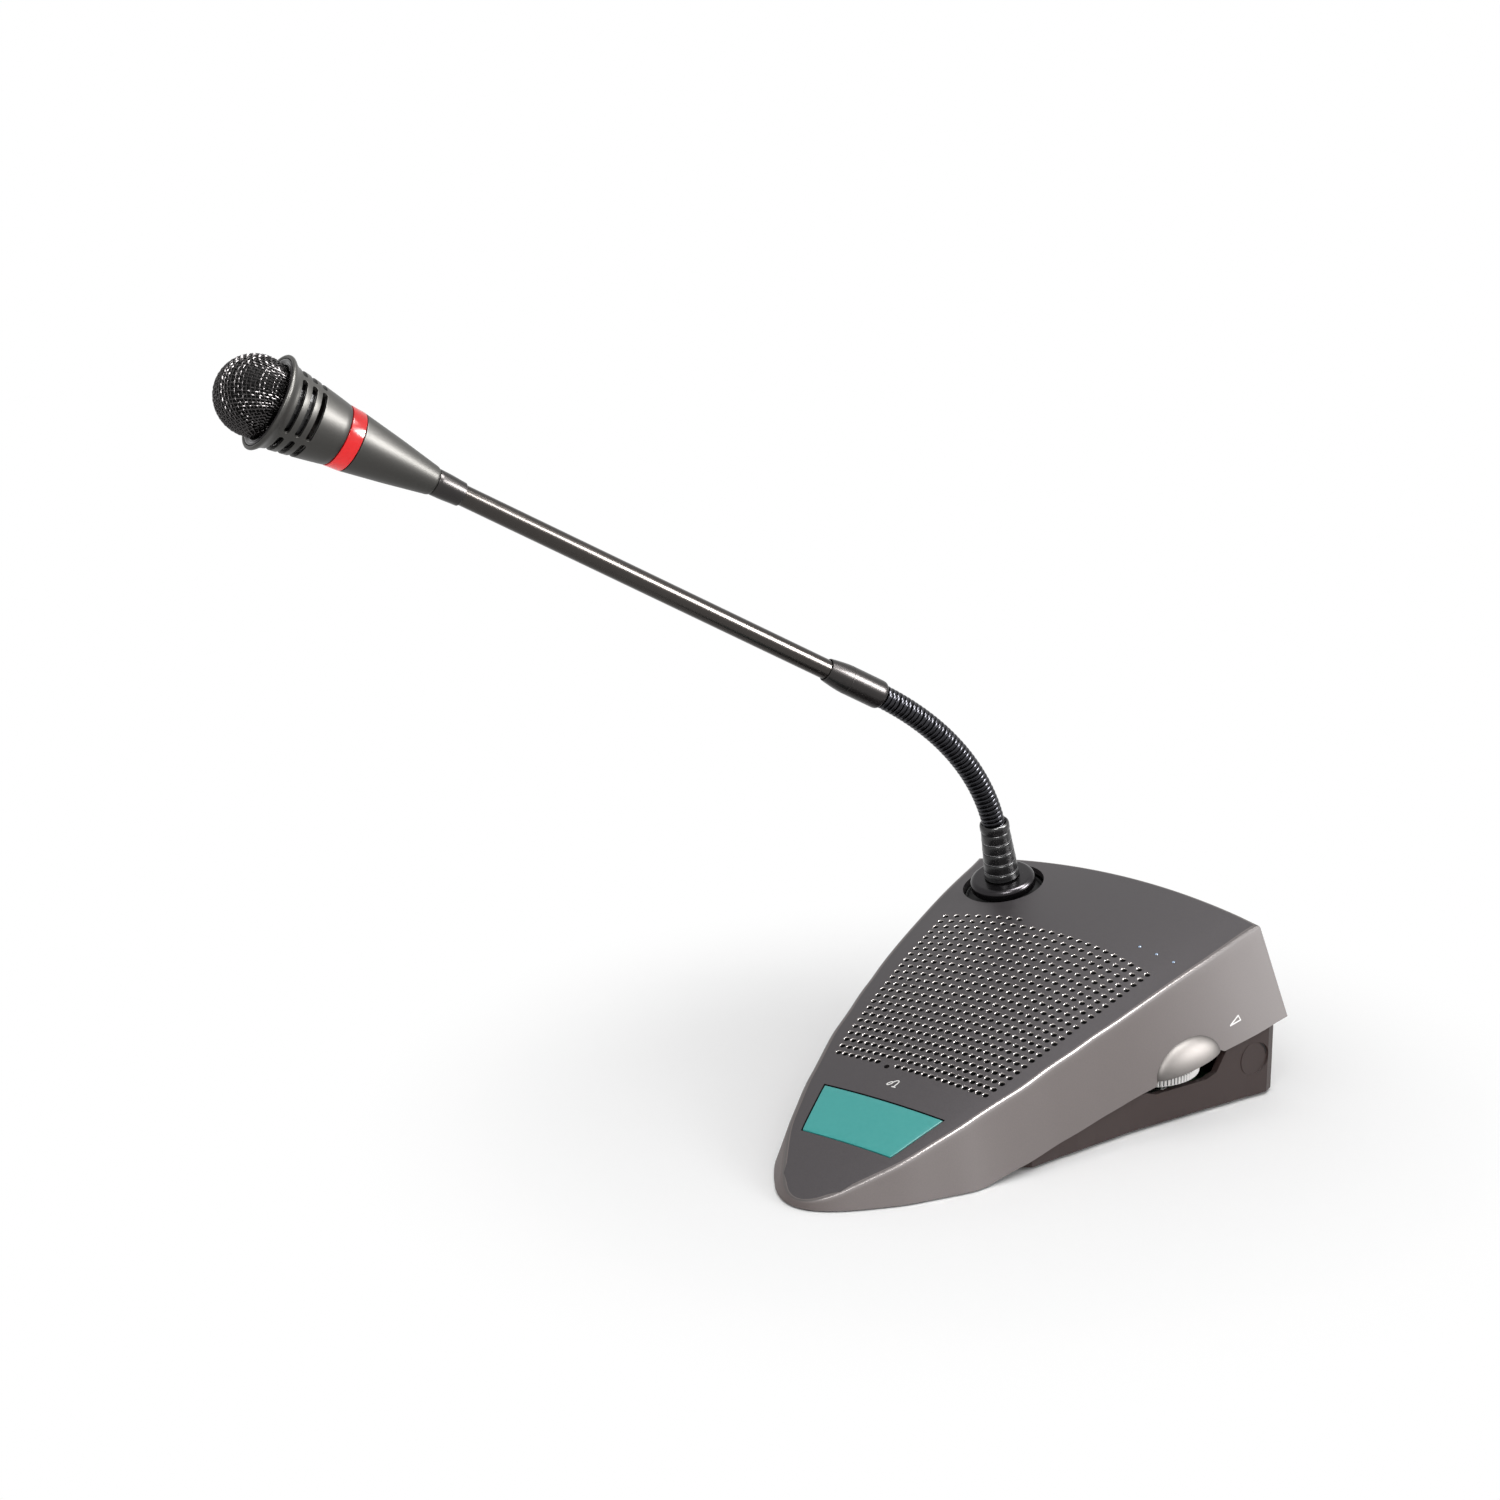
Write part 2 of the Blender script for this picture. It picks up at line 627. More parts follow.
shell = bmesh.new()
partners = {}
deck_verts = deck_grid(shell, partners)
roll_and_skirt(shell, deck_verts, partners)
close_shell(shell, partners)
shell.normal_update()
housing = new_object("deck_shell", mesh_of(shell, "shell"))
print("shell faces:", len(housing.data.polygons))

# %% [markdown]
# Round holes that cross the grid are cut by hand: the stem's seat, the three indicator lights
# and the pinhole between the two halves of the first hole row. A drum is placed in each spot and
# subtracted.

# %% Cut the round holes
LIGHTS = [(29.0 + 6.65 * i, 45.1 - 0.8 * i) for i in range(3)]
PINHOLE = (-8.3, -37.6)
SEAT_HOLE, LIGHT_HOLE, PIN_RADIUS = 13.4 * MM, 0.62 * MM, 0.9 * MM


def on_deck(x, y):
    """The deck's point above a place given in millimetres."""
    return Vector((x * MM, y * MM, deck_height(x * MM, y * MM)))


def drum(centre, axis, radius, depth, sides):
    bpy.ops.object.select_all(action="DESELECT")
    bpy.ops.mesh.primitive_cylinder_add(vertices=sides, radius=radius, depth=depth * 2, location=centre)
    item = bpy.context.object
    item.rotation_euler = Vector((0, 0, 1)).rotation_difference(axis).to_euler()
    bpy.ops.object.transform_apply(location=True, rotation=True, scale=True)
    return item


def subtract(target, cutter):
    modify(target, "BOOLEAN", operation="DIFFERENCE", solver="EXACT", object=cutter)
    bpy.data.objects.remove(cutter, do_unlink=True)


SEAT_LOCAL = UNIT.inverted() @ SEAT
seat_axis = (SEAT_LOCAL.to_3x3() @ Vector((0, 0, 1))).normalized()
subtract(housing, drum(SEAT_LOCAL.translation, seat_axis, SEAT_HOLE, 9 * MM, 96))
for place, radius in [(light, LIGHT_HOLE) for light in LIGHTS] + [(PINHOLE, PIN_RADIUS)]:
    spot = on_deck(*place)
    subtract(housing, drum(spot, deck_normal(spot.y), radius, 4 * MM, 24))
settle(housing, PAINT, "base", UNIT, angle=40)
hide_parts("upper_housing")
for extra in (SKIRT, BLACK, EDGE, HOLE_RIM):
    housing.data.materials.append(extra)
print("shell now has", len(housing.data.polygons), "faces in", len(housing.data.materials), "finishes")

# %% [markdown]
# The wheel's hood is a half dome that stands out of the skirt on the right. Its back edge lies in
# the skirt and its lower rim lies level with the wheel's top, so its outline stays crisp.

# %% Hood over the wheel
RIGHT = [(top, foot) for top, foot in zip(LOOP, FEET) if foot.x > 0 and -20 * MM < foot.y < 75 * MM]


def skirt_x(y, z):
    """Side of the plain skirt at a place along the unit and above the table."""
    points = []
    for top, foot in RIGHT:
        t = (top.z - z) / (top.z - foot.z)
        place = top + (foot - top) * t
        points.append((place.y, place.x))
    points.sort()
    for (y0, x0), (y1, x1) in zip(points, points[1:]):
        if y0 <= y <= y1:
            return x0 + (x1 - x0) * (y - y0) / (y1 - y0)
    return points[-1][1]


def dome_point(rho, angle, inset):
    y = HOOD_Y + (HOOD_HALF - inset) * rho * math.cos(angle)
    z = hood_rim(y) + (HOOD_HIGH - inset) * rho * math.sin(angle)
    return Vector((skirt_x(y, z) + (HOOD_DEEP - inset) * math.sqrt(1 - rho * rho) - HOOD_SINK, y, z))


def dome_mesh():
    """Two skins with a rim between them, closed along the edge of the half dome."""
    shape = bmesh.new()
    around, along = 72, 26
    turns = [math.pi * j / around for j in range(around + 1)]
    reaches = [math.sin(math.pi / 2 * i / along) for i in range(along + 1)]
    skins = []
    for inset in (0.0, HOOD_THICK):
        skins.append([[shape.verts.new(dome_point(rho, turn, inset)) for turn in turns] for rho in reaches])
    for skin, grid in enumerate(skins):
        for i in range(along):
            for j in range(around):
                face = [grid[i][j], grid[i + 1][j], grid[i + 1][j + 1], grid[i][j + 1]]
                shape.faces.new(face if skin == 0 else list(reversed(face)))
    outer, inner = skins
    for j in range(around):
        shape.faces.new((outer[-1][j], inner[-1][j], inner[-1][j + 1], outer[-1][j + 1]))
    for i in range(along):
        for j, flip in ((0, False), (around, True)):
            face = [outer[i][j], inner[i][j], inner[i + 1][j], outer[i + 1][j]]
            shape.faces.new(list(reversed(face)) if flip else face)
    bmesh.ops.remove_doubles(shape, verts=shape.verts, dist=0.002 * MM)
    bmesh.ops.recalc_face_normals(shape, faces=list(shape.faces))
    return mesh_of(shape, "hood")


dome = new_object("wheel_hood", dome_mesh())
settle(dome, HOOD_PAINT, "base", UNIT, angle=50)
print("hood faces:", len(dome.data.polygons))

# %% [markdown]
# ## The volume wheel
# A thumb turns this wheel by its rim, which is cut with fine ribs. A cylinder gets a chamfer
# above and below, every third line of its side is pulled out into a rib, and the bore for the
# shaft is cut last. The floors of the grooves between the ribs get a darker finish.

# %% Volume wheel
RIBS, RIB_PULL, TAPER = 84, 1.03, 0.985
WHEEL_RADIUS, WHEEL_HIGH, CHAMFER, BORE = 17.4 * MM, 2.8 * MM, 0.3 * MM, 3.2 * MM
wheel_low, wheel_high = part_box("volume_wheel")
WHEEL_PLACE = Matrix.Translation((*((wheel_low + wheel_high) / 2).xy, wheel_low.z))
UP, WHEEL_MIDDLE = Vector((0, 0, 1)), Vector((0, 0, WHEEL_HIGH / 2))
wheel = drum(WHEEL_MIDDLE, UP, WHEEL_RADIUS / RIB_PULL, WHEEL_HIGH / 2 - CHAMFER, RIBS * 3)
edit(wheel)
for lift in (CHAMFER, -CHAMFER):
    bpy.ops.mesh.select_all(action="DESELECT")
    wheel_shape = bmesh.from_edit_mesh(wheel.data)
    for face in wheel_shape.faces:
        if len(face.verts) > 4 and face.normal.z * lift > 0:
            face.select = True
    bmesh.update_edit_mesh(wheel.data)
    bpy.ops.mesh.extrude_region_move(TRANSFORM_OT_translate={"value": (0, 0, lift)})
    bpy.ops.transform.resize(value=(TAPER, TAPER, 1), center_override=(0, 0, 0))
bpy.ops.mesh.select_all(action="DESELECT")
wheel_shape = bmesh.from_edit_mesh(wheel.data)
for vertex in wheel_shape.verts:
    turn = round(math.atan2(vertex.co.y, vertex.co.x) / math.tau * RIBS * 3)
    vertex.select = turn % 3 == 0 and vertex.co.xy.length > WHEEL_RADIUS * 0.96
bmesh.update_edit_mesh(wheel.data)
bpy.ops.transform.resize(value=(RIB_PULL, RIB_PULL, 1), center_override=(0, 0, 0))
bpy.ops.object.mode_set(mode="OBJECT")
subtract(wheel, drum(WHEEL_MIDDLE, UP, BORE, WHEEL_HIGH, 32))
settle(wheel, SILVER, "wheel", WHEEL_PLACE, angle=30)
wheel.data.materials.append(FERRITE)
for face in wheel.data.polygons:
    out = (face.center - WHEEL_PLACE.translation).xy.length
    groove = WHEEL_RADIUS / 2 < out < WHEEL_RADIUS * 0.983
    if groove and abs(face.normal.z) < 0.3:
        face.material_index = 1
wheel.name = "volume_wheel_fine"
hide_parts("volume_wheel")
print("wheel:", RIBS, "ribs,", len(wheel.data.polygons), "faces")

# %% [markdown]
# ## Socket shutter, lenses and marks
# The headphone socket hides behind a round shutter that lies flush with the base wall, so only
# a dark sliver of its edge shows. The wall is slanted, and the shutter follows it.

# %% Socket and shutter
WALL_TURN, WALL_SLOPE = math.radians(-14.2), 0.253
WALL_SPOT = UNIT @ Matrix.Translation((62.14 * MM, 61.8 * MM, 13.5 * MM))
LIE_DOWN = Matrix.Rotation(math.pi / 2, 4, "Y")
SOCKET_PLACE = WALL_SPOT @ Matrix.Rotation(WALL_TURN, 4, "Z") @ LIE_DOWN
socket_section = [(0, -11.4), (4.9, -11.4), (4.9, -4.6), (1.9, -4.6), (1.9, -10.0), (0, -10.0)]
socket = settle(spun("headphone_socket_fine", socket_section, 40), BLACK, "base", SOCKET_PLACE)
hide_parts("headphone_socket")
shutter_section = [(0, -2.9), (5.7, -2.9), (5.7, 3.0), (0, 3.0)]
shutter = settle(spun("socket_shutter", shutter_section, 64), BASE, "base", WALL_SPOT @ LIE_DOWN, 40)
edit(shutter)
bpy.ops.mesh.bisect(
    plane_co=WALL_SPOT.translation + Vector((0.02 * MM, 0, 0)), plane_no=(1, -WALL_SLOPE, 0),
    use_fill=True, clear_outer=True)
bpy.ops.object.mode_set(mode="OBJECT")
bpy.ops.object.shade_smooth_by_angle(angle=math.radians(30))


def crescent(radius, steps):
    """Loops of a crescent that lies on the shutter's face, pointed at both ends."""
    loops = []
    for i in range(steps + 1):
        turn = math.radians(4 + 62 * i / steps)
        half = 0.20 * math.sin(math.pi * (i + 0.5) / (steps + 1)) + 0.02
        loop = []
        for side, level in ((-half, -0.1), (half, -0.1), (half, 0.14), (-half, 0.14)):
            reach = (radius + side) * MM
            loop.append((-reach * math.sin(turn), reach * math.cos(turn), level * MM))
        loops.append(loop)
    return loops


gap = settle(bars("shutter_gap", [crescent(4.9, 24)]), BLACK, "base", SOCKET_PLACE)
print("socket pieces:", socket.name, shutter.name, gap.name)

# %% [markdown]
# Each indicator is a small clear lens with a pale blue light behind it. It is turned from a rod
# with a domed end and stands a hair proud of the deck.

# %% Indicator lenses
lens_section = [(0, -4.2), (0.5, -4.2), (0.5, 0.02), (0.42, 0.08), (0.24, 0.12), (0, 0.13)]
for number, (x, y) in enumerate(LIGHTS, start=1):
    spot = on_deck(x, y)
    place = UNIT @ Matrix.Translation(spot) @ Matrix.Rotation(deck_angle(spot.y), 4, "X")
    lens = settle(spun("indicator_lens_" + str(number), lens_section, 20), LENS, "base", place)
    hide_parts("indicator_light_" + str(number))
print("lenses:", len(LIGHTS))

# %% [markdown]
# The microphone symbol between button and grille and the volume wedge on the skirt are printed.
# A print is a flat band, so each stroke is drawn as a thin ribbon that lies on the paint.

# %% Printed marks
STROKE = 0.38


def ribbon(name, strokes, on_surface):
    """Strokes given as points on a surface, as flat bands a few hundredths of a millimetre thick."""
    bands = []
    for points in strokes:
        places = [Vector(point) for point in points]
        band = []
        for i, place in enumerate(places):
            ahead = places[min(i + 1, len(places) - 1)] - places[max(i - 1, 0)]
            off = Vector((-ahead.y, ahead.x)).normalized() * STROKE / 2
            corners = ((-1, -0.02), (1, -0.02), (1, 0.03), (-1, 0.03))
            band.append([on_surface(place + off * share, lift) for share, lift in corners])
        bands.append(band)
    return settle(bars(name, bands), MARK, "base", UNIT)


def above_deck(point, lift):
    return on_deck(point.x, point.y) + deck_normal(point.y * MM) * lift * MM


def beside_skirt(point, lift):
    y, z = point.x * MM, point.y * MM
    return Vector((skirt_x(y, z) + lift * MM, y, z))


TALK_STROKES = [
    [(-3.3, -44.3), (-3.35, -43.8), (-2.7, -42.9), (-2.2, -42.7),
     (-1.95, -43.0), (-2.1, -43.5), (-2.8, -44.3), (-3.3, -44.3)],
    [(-1.95, -42.75), (-1.3, -41.95), (-0.7, -41.7), (-0.3, -42.1), (-0.35, -43.0), (-0.65, -44.4)],
    [(-1.35, -44.6), (0.1, -44.5)]]
WEDGE_STROKES = [[(52.2, 26.4), (56.2, 28.8)], [(56.1, 28.9), (56.5, 27.3)], [(56.6, 27.35), (52.1, 26.35)]]
for mark in (ribbon("talk_mark", TALK_STROKES, above_deck), ribbon("volume_mark", WEDGE_STROKES, beside_skirt)):
    print("mark:", mark.name)

# %% [markdown]
# ## The talk button
# The button follows the deck's crown and fills its opening but for a narrow gap all round. Its
# edges are bevelled so they catch the light.

# %% Talk button
BUTTON_Y = (BUTTON_Y0 + BUTTON_Y1) / 2
BUTTON_SPOT = Vector((0, BUTTON_Y, deck_height(0, BUTTON_Y)))
BUTTON_PLACE = UNIT @ Matrix.Translation(BUTTON_SPOT) @ Matrix.Rotation(deck_angle(BUTTON_Y), 4, "X")
BUTTON_GAP, BUTTON_DEPTH = 0.42 * MM, 5.0 * MM


def button_mesh(along, across):
    """A slab whose top lies on the deck and whose sides follow the opening."""
    shape = bmesh.new()
    to_local = BUTTON_PLACE.inverted() @ UNIT
    tops, lows = [], []
    for r in range(along + 1):
        y = BUTTON_Y0 + BUTTON_GAP + (BUTTON_Y1 - BUTTON_Y0 - 2 * BUTTON_GAP) * r / along
        half = half_width(y) * BUTTON_SHARE - BUTTON_GAP
        places = [half * (2 * c / across - 1) for c in range(across + 1)]
        row = [to_local @ Vector((x, y, deck_height(x, y))) for x in places]
        tops.append([shape.verts.new(place) for place in row])
        lows.append([shape.verts.new((place.x, place.y, -BUTTON_DEPTH)) for place in row])
    for r in range(along):
        for c in range(across):
            shape.faces.new((tops[r][c], tops[r][c + 1], tops[r + 1][c + 1], tops[r + 1][c]))
            shape.faces.new((lows[r][c], lows[r + 1][c], lows[r + 1][c + 1], lows[r][c + 1]))
    edge, foot = loop_of(tops), loop_of(lows)
    for i in range(len(edge)):
        j = (i + 1) % len(edge)
        shape.faces.new((foot[i], foot[j], edge[j], edge[i]))
    return mesh_of(shape, "button")


button = new_object("talk_button_fine", button_mesh(8, 24))
edit(button, "DESELECT")
bpy.ops.mesh.select_mode(type="EDGE")
bpy.ops.mesh.edges_select_sharp(sharpness=math.radians(50))
bpy.ops.mesh.bevel(offset=0.3 * MM, segments=3, profile=0.5)
bpy.ops.mesh.select_mode(type="VERT")
bpy.ops.object.mode_set(mode="OBJECT")
settle(button, TEAL, "button", BUTTON_PLACE, angle=60)
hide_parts("talk_button")
print("button faces:", len(button.data.polygons))

# %% [markdown]
# ## The stem's foot
# The seat is a shallow black cup let into the deck. The flange stands in it, and the grooved
# rubber boot grips the start of the neck. Each one is a half section spun about the stem's axis.
# The upper lip of each groove is worn paler.

# %% Seat, flange and boot
seat_section = soften(
    [(5.0, -6.3), (13.7, -6.3), (13.7, -4.7), (13.1, -4.7),
     (13.1, -3.6), (12.6, -3.6), (12.2, -4.4), (5.0, -4.4)],
    [0, 0, 0, 0, 0.2, 0.2, 0, 0])
seat = settle(spun("stem_seat_fine", seat_section, 96), BLACK, "base", SEAT, 40)
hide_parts("stem_seat")
flange_section = soften(
    [(1.6, -10.8), (4.6, -10.8), (4.6, -1.0), (10.2, -1.0), (10.65, -0.4),
     (10.65, 2.0), (9.6, 3.0), (2.6, 3.0), (2.6, 20.1), (1.6, 20.1)],
    [0, 0, 0, 0.2, 0.2, 0.7, 0.7, 0, 0, 0])
flange = settle(spun("mic_flange_fine", flange_section, 96), FLANGE, "base", SEAT, 30)
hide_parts("mic_flange")
BOOT_LOW, BOOT_LENGTH, GROOVES, GROOVE_PITCH = 3.3, 20.3, 5, 3.65
boot_section = [(4.2, BOOT_LOW), (5.5, BOOT_LOW), (5.8, BOOT_LOW + 0.3)]
for i in range(GROOVES):
    middle = BOOT_LOW + GROOVE_PITCH * (i + 0.75)
    radius = 5.8 - 1.2 * (middle - BOOT_LOW) / BOOT_LENGTH
    boot_section += [(radius - inset, middle + rise) for inset, rise in (
        (0.02, -1.5), (0.05, -0.5), (0.14, -0.34), (0.4, -0.2), (0.42, 0), (0.06, 0.08), (0.02, 0.3))]
boot_section += [(4.74, 20.9), (4.86, 21.2), (4.86, 22.6), (4.74, 23.2), (4.5, 23.5), (4.2, 23.6)]
boot = settle(spun("stem_boot_fine", boot_section, 72), RUBBER, "base", SEAT, 40)
boot.data.materials.append(LIP)
to_seat = SEAT.inverted()
for face in boot.data.polygons:
    height = (to_seat @ face.center).z / MM - BOOT_LOW
    past_groove = (height / GROOVE_PITCH - 0.75) % 1 * GROOVE_PITCH
    if height < 17.5 and 0.02 < past_groove < 0.2:
        face.material_index = 1
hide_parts("stem_boot")
print("foot pieces:", seat.name, flange.name, boot.name)

# %% [markdown]
# ## The bendable neck
# The neck bends evenly from its first joint to its last. One link is spun with its three ribs,
# then copied with its own mesh into the place of each of the fourteen links.

# %% Neck frames and links
LINKS, LINK_LENGTH = 14, 4.89
BEND, SKEW, PLANE = math.radians(47.74), -0.32, math.radians(-125.08)
NECK_FOOT = 20.5 * MM


def neck_frames():
    weights = [1 + SKEW * (2 * i / LINKS - 1) for i in range(LINKS + 1)]
    place = SEAT @ Matrix.Translation((0, 0, NECK_FOOT)) @ Matrix.Rotation(PLANE, 4, "Z")
    frames = []
    for weight in weights:
        place = place @ Matrix.Rotation(BEND * weight / sum(weights), 4, "Y")
        frames.append(place.copy())
        place = place @ Matrix.Translation((0, 0, LINK_LENGTH * MM))
    return frames


NECK = neck_frames()
ARM = NECK[-1]
link_section = [(3.1, 0.1)]
for rib in range(3):
    low = LINK_LENGTH / 3 * rib
    link_section += [(radius, low + rise) for radius, rise in (
        (3.2, 0.1), (3.35, 0.2), (3.66, 0.3), (3.77, 0.5), (3.8, 0.8),
        (3.77, 1.1), (3.66, 1.3), (3.35, 1.42), (3.2, 1.52))]
link_section += [(2.6, LINK_LENGTH - 0.1), (2.6, LINK_LENGTH + 0.85), (1.6, LINK_LENGTH + 0.85)]
link_section += [(1.6, 1.75), (3.1, 1.75)]
link = spun("neck_link_fine", link_section, 48)
for i, place in enumerate(NECK[:-1]):
    copy = new_object("neck_link_fine_" + str(i + 1).zfill(2), link.data.copy())
    settle(copy, NECK_STEEL, "link_" + str(i + 1).zfill(2), place, 40)
    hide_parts("neck_link_" + str(i + 1).zfill(2))
bpy.data.objects.remove(link, do_unlink=True)
print("links:", LINKS)

# %% [markdown]
# ## The straight arm
# A dark polished tube carries the head. A turned sleeve covers its joint with the neck, and a shorter
# one leads into the head's cone.

# %% Tube and sleeves
tube_section = [(2.5, 1.3), (3.2, 1.3), (3.2, 167.0), (2.5, 167.0)]
tube = settle(spun("stem_tube_fine", tube_section, 96), TUBE, "arm", ARM)
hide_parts("stem_tube")
sleeve_section = [(3.5, 0.4), (4.0, 0.4), (4.3, 0.62), (4.52, 1.0), (4.63, 1.6), (4.65, 2.3)]
sleeve_section += [(4.65, 13.75), (4.57, 13.85), (4.57, 14.0), (4.63, 14.1), (4.55, 15.6)]
sleeve_section += [(4.3, 17.9), (3.98, 20.2), (3.72, 21.7), (3.5, 21.9)]
lower_sleeve = settle(spun("lower_sleeve_fine", sleeve_section, 96), SLEEVE, "arm", ARM, 30)
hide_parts("lower_sleeve")
upper_section = [(3.5, 156.1), (3.62, 156.1), (3.7, 156.2), (3.82, 158.2), (4.0, 160.6)]
upper_section += [(4.06, 162.0), (4.1, 164.0), (4.1, 165.05), (4.0, 165.3), (3.5, 165.3)]
upper_sleeve = settle(spun("upper_sleeve_fine", upper_section, 72), SLEEVE, "arm", ARM, 30)
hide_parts("upper_sleeve")
print("arm pieces:", tube.name, lower_sleeve.name, upper_sleeve.name)

# %% [markdown]
# ## The head
# The cone widens to the red light ring. The front body flares into a rounded lip, and three rows
# of four slots run round it. A dark chrome ring lines the lip.

# %% Cone, ring and body
CONE0 = 165.6
RING0 = CONE0 + 27.8
BODY0 = RING0 + 4.9
RIM = BODY0 + 22.6
BODY_STEPS = 10
cone_section = soften(
    [(3.5, CONE0), (4.2, CONE0), (4.5, CONE0 + 0.6), (6.95, CONE0 + 14.0),
     (9.15, RING0 - 0.3), (7.75, RING0 - 0.3), (5.6, CONE0 + 14.0), (3.5, 168.4)],
    [0, 0.1, 0.3, 2.0, 0.2, 0, 0, 0])
cone = settle(spun("head_cone_fine", cone_section, 96), HEAD, "arm", ARM, 30)
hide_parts("head_cone")
ring_section = soften([(7.4, RING0), (9.25, RING0), (9.5, BODY0 - 0.3), (7.4, BODY0 - 0.3)], [0, 0.15, 0.15, 0])
ring = settle(spun("light_ring_fine", ring_section, 96), RED, "arm", ARM, 30)
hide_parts("light_ring")
body_section = [(8.3, BODY0), (9.35, BODY0), (9.5, BODY0 + 0.15)]
for share in [i / BODY_STEPS for i in range(1, BODY_STEPS + 1)]:
    body_section.append((9.5 + 3.05 * share + 0.15 * math.sin(math.pi * share), BODY0 + 18.2 * share))
body_section += [(radius, RIM - drop) for radius, drop in (
    (12.75, 3.6), (13.1, 2.9), (13.65, 2.2), (14.25, 1.6), (14.62, 1.1), (14.74, 0.7), (14.7, 0.3),
    (14.5, 0.06), (14.2, 0), (13.85, 0.05), (13.65, 0.25), (12.2, 2.6), (11.4, 4.0))]
body = spun("head_body_fine", body_section, 128)


SLOT_ROWS, SLOTS, SLOT_STEPS = 3, 4, 40
SLOT_TOP, SLOT_PITCH, SLOT_HALF = 5.2, 3.55, 0.9 * MM
SLOT_FIRST, SLOT_SWEEP, SLOT_REACH = 75, math.radians(82), 12.6 * MM


def slot_loops(row, slot):
    """A curved bar with round ends that cuts one slot out of the body."""
    level = (RIM - SLOT_TOP - SLOT_PITCH * row) * MM
    loops = []
    for i in range(SLOT_STEPS + 1):
        t = 0.5 - 0.5 * math.cos(math.pi * i / SLOT_STEPS)
        angle = math.radians(SLOT_FIRST + 90 * slot) + SLOT_SWEEP * t
        inside = min(t, 1 - t) * SLOT_SWEEP * SLOT_REACH
        width = SLOT_HALF * math.sqrt(max(0.02, 1 - max(0.0, 1 - inside / SLOT_HALF) ** 2))
        loop = []
        for radius, side in ((8 * MM, -1), (8 * MM, 1), (15 * MM, 1), (15 * MM, -1)):
            loop.append((radius * math.cos(angle), radius * math.sin(angle), level + side * width))
        loops.append(loop)
    return loops


for row in range(SLOT_ROWS):
    for slot in range(SLOTS):
        subtract(body, bars("slot", [slot_loops(row, slot)]))
modify(body, "BEVEL", width=0.18 * MM, segments=2, limit_method="ANGLE", angle_limit=math.radians(50))
settle(body, HEAD, "arm", ARM, 40)
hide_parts("head_body")
rim_section = [(radius, RIM - drop) for radius, drop in (
    (11.7, 1.6), (12.2, 1.6), (13.3, 0.5), (13.45, 0.22), (13.3, 0.05), (12.9, 0),
    (12.5, 0.15), (12.2, 0.45), (11.9, 0.35), (11.7, 0.5))]
rim = settle(spun("rim_ring_fine", rim_section, 128), CHROME, "arm", ARM, 50)
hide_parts("rim_ring")
print("head body faces:", len(body.data.polygons))

# %% [markdown]
# The windscreen is woven wire. Two families of thin wires cross at right angles over the ball,
# each one passing over and under the other family. A dark foam ball fills it.

# %% Woven ball and foam
BALL_CENTRE, PITCH, PITCH_STEPS = RIM + 4.0, 1.24, 4
BALL_WRAP, FOAM_WRAP = math.radians(118), math.radians(122)
BALL_RADIUS, FOAM_RADIUS = 11.72, 11.0
WIRE_RADIUS, WIRE_LIFT = 0.19, 0.14
WEAVE_TURN = math.radians(38)


def weave_point(u, v, lift):
    """A point of the ball: the flat weave wrapped round it from its front pole."""
    distance = math.hypot(u, v)
    angle = distance / BALL_RADIUS
    radius = BALL_RADIUS + lift
    if distance < 1e-9:
        return (0, 0, (BALL_CENTRE + radius) * MM)
    side = radius * math.sin(angle) / distance
    return (side * u * MM, side * v * MM, (BALL_CENTRE + radius * math.cos(angle)) * MM)


def weave_wires():
    curve = bpy.data.curves.new("weave", "CURVE")
    curve.dimensions = "3D"
    curve.bevel_depth = WIRE_RADIUS * MM
    curve.bevel_resolution = 0
    curve.use_fill_caps = True
    reach = BALL_RADIUS * BALL_WRAP
    count = int(reach / PITCH)
    for family in (0, 1):
        for wire in range(-count, count + 1):
            across = wire * PITCH
            half = math.sqrt(max(0.0, reach * reach - across * across))
            steps = int(half / PITCH * PITCH_STEPS)
            if steps < PITCH_STEPS:
                continue
            points = []
            for i in range(-steps, steps + 1):
                along = i * PITCH / PITCH_STEPS
                lift = WIRE_LIFT * math.cos(math.pi * (along / PITCH + wire + family))
                u, v = (along, across) if family == 0 else (across, along)
                points.append(weave_point(u, v, lift))
            spline = curve.splines.new("POLY")
            spline.points.add(len(points) - 1)
            for point, place in zip(spline.points, points):
                point.co = (*place, 1)
    only(new_object("mesh_ball_fine", curve))
    bpy.ops.object.convert(target="MESH")
    return bpy.context.object


ball = weave_wires()
settle(ball, WIRE, "arm", ARM @ Matrix.Rotation(WEAVE_TURN, 4, "Z"), 60)
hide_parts("mesh_ball")
foam_section = [(0, RIM - 1.9)]
for i in range(25):
    angle = FOAM_WRAP * (1 - i / 24)
    foam_section.append((FOAM_RADIUS * math.sin(angle), BALL_CENTRE + FOAM_RADIUS * math.cos(angle)))
foam = settle(spun("foam_liner_fine", foam_section, 48), FOAM, "arm", ARM, 60)
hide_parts("foam_liner")
print("ball faces:", len(ball.data.polygons), "foam faces:", len(foam.data.polygons))

# %% [markdown]
# ## Finishes of the plain solids
# The remaining solids keep their shape and only get a finish with grain in it, so that nothing
# on the object or inside it looks like untouched plastic.

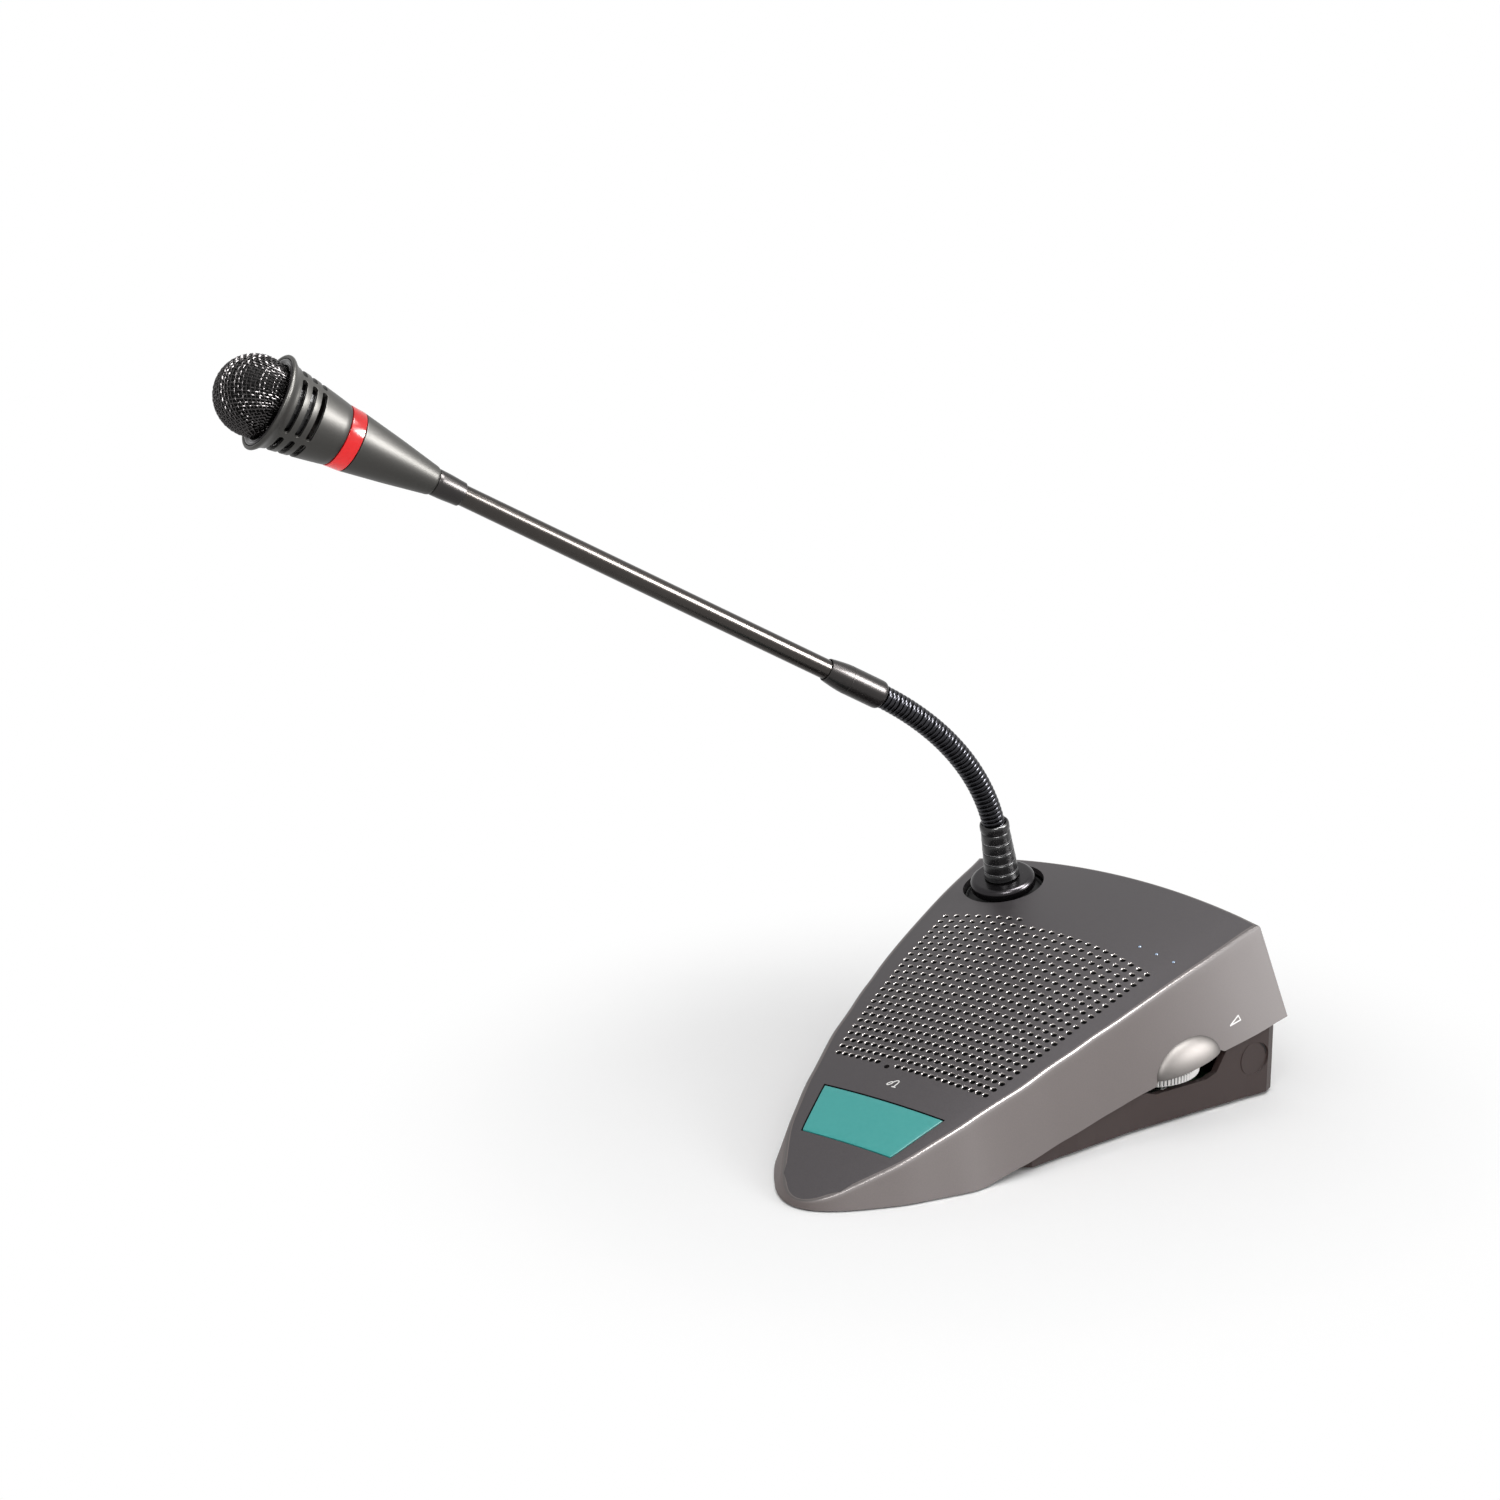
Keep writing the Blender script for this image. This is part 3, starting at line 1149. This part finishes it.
# %% Finish the plain solids
CORNERS = ("front_left", "front_right", "rear_left", "rear_right")
PLAIN = [
    (BASE, "lower_housing"), (WHITE, "button_plunger"), (CLOTH, "speaker_cloth"), (PAPER, "speaker_cone"),
    (STEEL, "volume_control"), (STEEL, "stem_nut"), (STEEL, "mic_capsule"),
    (BLACK, "button_guide"), (BLACK, "talk_switch"), (BLACK, "link_socket_in"), (BLACK, "link_socket_out"),
    (FERRITE, "speaker_basket"), (FERRITE, "speaker_magnet"),
    (BOARD, "main_board"), (BOARD, "ring_light_board"), (RUBBER, "capsule_holder")]
PLAIN += [(RUBBER, "foot_" + corner) for corner in CORNERS]
PLAIN += [(BRASS, "standoff_" + corner) for corner in CORNERS]
for material, node in PLAIN:
    for slot_place in bpy.data.objects[node].material_slots:
        slot_place.material = material
print("plain solids:", len(PLAIN))

# %% [markdown]
# ## Camera, floor and light
# The camera stands ahead of the unit and to its right, a little above it, with a long lens. Two
# soft lamps light the unit without being mirrored in it, and three cards are only mirrored.

# %% Camera and light
LOOK = Vector((0.596, -0.750, 0.289))
camera_data = bpy.data.cameras.new("camera")
camera_data.lens = 79.2
camera_data.sensor_width = 36
camera_data.clip_start = 0.01
camera = new_object("camera", camera_data)
camera.location = UNIT @ Vector((537.7 * MM, -791.2 * MM, 405.2 * MM))
camera.rotation_euler = LOOK.to_track_quat("Z", "Y").to_euler()
bpy.context.scene.camera = camera
AIM = UNIT @ Vector((0, 0, 60 * MM))
for name, place, size, power in (
        ("front box", (0.62, -0.72, 1.15), (0.8, 0.8), 4.0),
        ("right panel", (1.25, -0.1, 0.30), (0.5, 0.5), 2.2),
        ("gloss card", (0.50, -0.62, 0.95), (0.40, 0.40), 18.0),
        ("side card", (1.00, 0.48, 0.62), (0.50, 0.34), 34.0),
        ("edge card", (0.36, 0.22, 1.05), (0.30, 0.60), 30.0)):
    data = bpy.data.lights.new(name, "AREA")
    data.shape = "RECTANGLE"
    data.size, data.size_y = size
    data.energy = power
    item = new_object(name, data)
    item.location = place
    item.rotation_euler = (item.location - AIM).to_track_quat("Z", "Y").to_euler()
    item.visible_diffuse = not name.endswith("card")
    item.visible_glossy = name.endswith("card")
print("camera at", [round(c, 3) for c in camera.location], "with two lamps and three cards round the unit")

# %% [markdown]
# Seen by the camera and in reflections, the floor fades to plain white away from the unit, and
# so does the world, so there is no horizon. Under the unit the floor stays a real surface that
# keeps the shadow.

# %% Floor and world
floor_mesh = bpy.data.meshes.new("floor")
floor_mesh.from_pydata([(-4, -4, 0), (4, -4, 0), (4, 4, 0), (-4, 4, 0)], [], [(0, 1, 2, 3)])
floor = new_object("floor", floor_mesh)


def seen_rays(nodes, links):
    """One for camera, glossy and transmission rays, nought for the rays that light things."""
    path = nodes.new("ShaderNodeLightPath")
    result = path.outputs["Is Camera Ray"]
    for ray in ("Is Glossy Ray", "Is Transmission Ray"):
        either = nodes.new("ShaderNodeMath")
        either.operation = "MAXIMUM"
        links.new(result, either.inputs[0])
        links.new(path.outputs[ray], either.inputs[1])
        result = either.outputs[0]
    return result


def pale_floor():
    material, nodes, links, paint = new_material("pale floor")
    paint.inputs["Base Color"].default_value = (0.96, 0.96, 0.96, 1)
    paint.inputs["Roughness"].default_value = 0.9
    where = nodes.new("ShaderNodeTexCoord")
    far = nodes.new("ShaderNodeVectorMath")
    far.operation = "LENGTH"
    fade = nodes.new("ShaderNodeMapRange")
    fade.interpolation_type = "SMOOTHSTEP"
    fade.inputs["From Min"].default_value = 0.10
    fade.inputs["From Max"].default_value = 0.20
    around = nodes.new("ShaderNodeVectorMath")
    around.operation = "SUBTRACT"
    around.inputs[1].default_value = UNIT.translation
    share = nodes.new("ShaderNodeMath")
    share.operation = "MULTIPLY"
    glow = nodes.new("ShaderNodeEmission")
    blend = nodes.new("ShaderNodeMixShader")
    links.new(where.outputs["Object"], around.inputs[0])
    links.new(around.outputs["Vector"], far.inputs[0])
    links.new(far.outputs["Value"], fade.inputs["Value"])
    links.new(fade.outputs["Result"], share.inputs[0])
    links.new(seen_rays(nodes, links), share.inputs[1])
    links.new(share.outputs[0], blend.inputs["Fac"])
    links.new(paint.outputs["BSDF"], blend.inputs[1])
    links.new(glow.outputs["Emission"], blend.inputs[2])
    links.new(blend.outputs["Shader"], nodes["Material Output"].inputs["Surface"])
    return material


floor.data.materials.append(pale_floor())

world = bpy.data.worlds.new("studio")
bpy.context.scene.world = world
world.use_nodes = True
world_nodes, world_links = world.node_tree.nodes, world.node_tree.links
background = world_nodes["Background"]
background.inputs["Color"].default_value = (1, 1, 1, 1)
strength = world_nodes.new("ShaderNodeMapRange")
strength.inputs["To Min"].default_value = 0.72
strength.inputs["To Max"].default_value = 1.0
world_links.new(seen_rays(world_nodes, world_links), strength.inputs["Value"])
world_links.new(strength.outputs["Result"], background.inputs["Strength"])
bpy.context.scene.view_settings.view_transform = "Standard"
print("world and floor:", world.name, floor.name)
